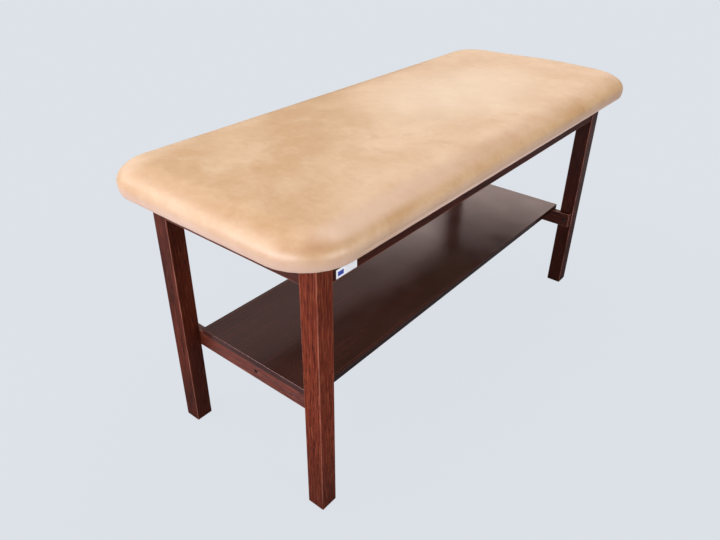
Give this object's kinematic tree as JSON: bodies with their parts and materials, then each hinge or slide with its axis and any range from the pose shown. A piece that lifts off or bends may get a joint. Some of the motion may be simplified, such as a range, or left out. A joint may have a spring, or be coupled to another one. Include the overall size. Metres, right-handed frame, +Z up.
{
  "type": "medical exam table",
  "caption": "Fixed-height wooden examination table: a one-piece padded top with rounded corners on square legs joined by aprons, with a storage shelf below.",
  "frame": {"origin": "on the floor, under the middle of the padded top", "axes": "+X along the table's length, +Y across it towards the rear, +Z up"},
  "size_m": [1.804, 0.756, 0.9],
  "materials": {
    "stained_wood": "mahogany-stained open-grain hardwood under satin varnish",
    "shelf_panel": "dark stained board under glossy varnish",
    "plain_wood": "unfinished planed softwood",
    "plywood": "unfinished birch plywood",
    "foam": "open-cell upholstery foam",
    "leatherette": "mottled tan leatherette, satin",
    "steel_hardware": "zinc-plated steel",
    "label": "blank white label with plain colour bars"
  },
  "bodies": {
    "root": {"apron_front": "stained_wood", "apron_left": "stained_wood", "apron_rear": "stained_wood", "apron_right": "stained_wood", "bearer_bolts": "steel_hardware", "bearer_insert_nuts": "steel_hardware", "corner_block_front_left": "plain_wood", "corner_block_front_right": "plain_wood", "corner_block_rear_left": "plain_wood", "corner_block_rear_right": "plain_wood", "corner_block_screws": "steel_hardware", "cover_staples": "steel_hardware", "cross_rail_dowels": "plain_wood", "cross_rail_left": "plain_wood", "cross_rail_middle": "plain_wood", "cross_rail_right": "plain_wood", "deck_board": "plywood", "deck_screws": "steel_hardware", "foam_pad": "foam", "label_plate": "label", "leg_front_left": "stained_wood", "leg_front_right": "stained_wood", "leg_rear_left": "stained_wood", "leg_rear_right": "stained_wood", "pad_cover": "leatherette", "shelf_bearer_left": "stained_wood", "shelf_bearer_right": "stained_wood", "shelf_board": "shelf_panel", "shelf_screws": "steel_hardware", "shelf_stretcher": "stained_wood", "stretcher_barrel_nuts": "steel_hardware", "stretcher_bolts": "steel_hardware"}
  },
  "joints": []
}
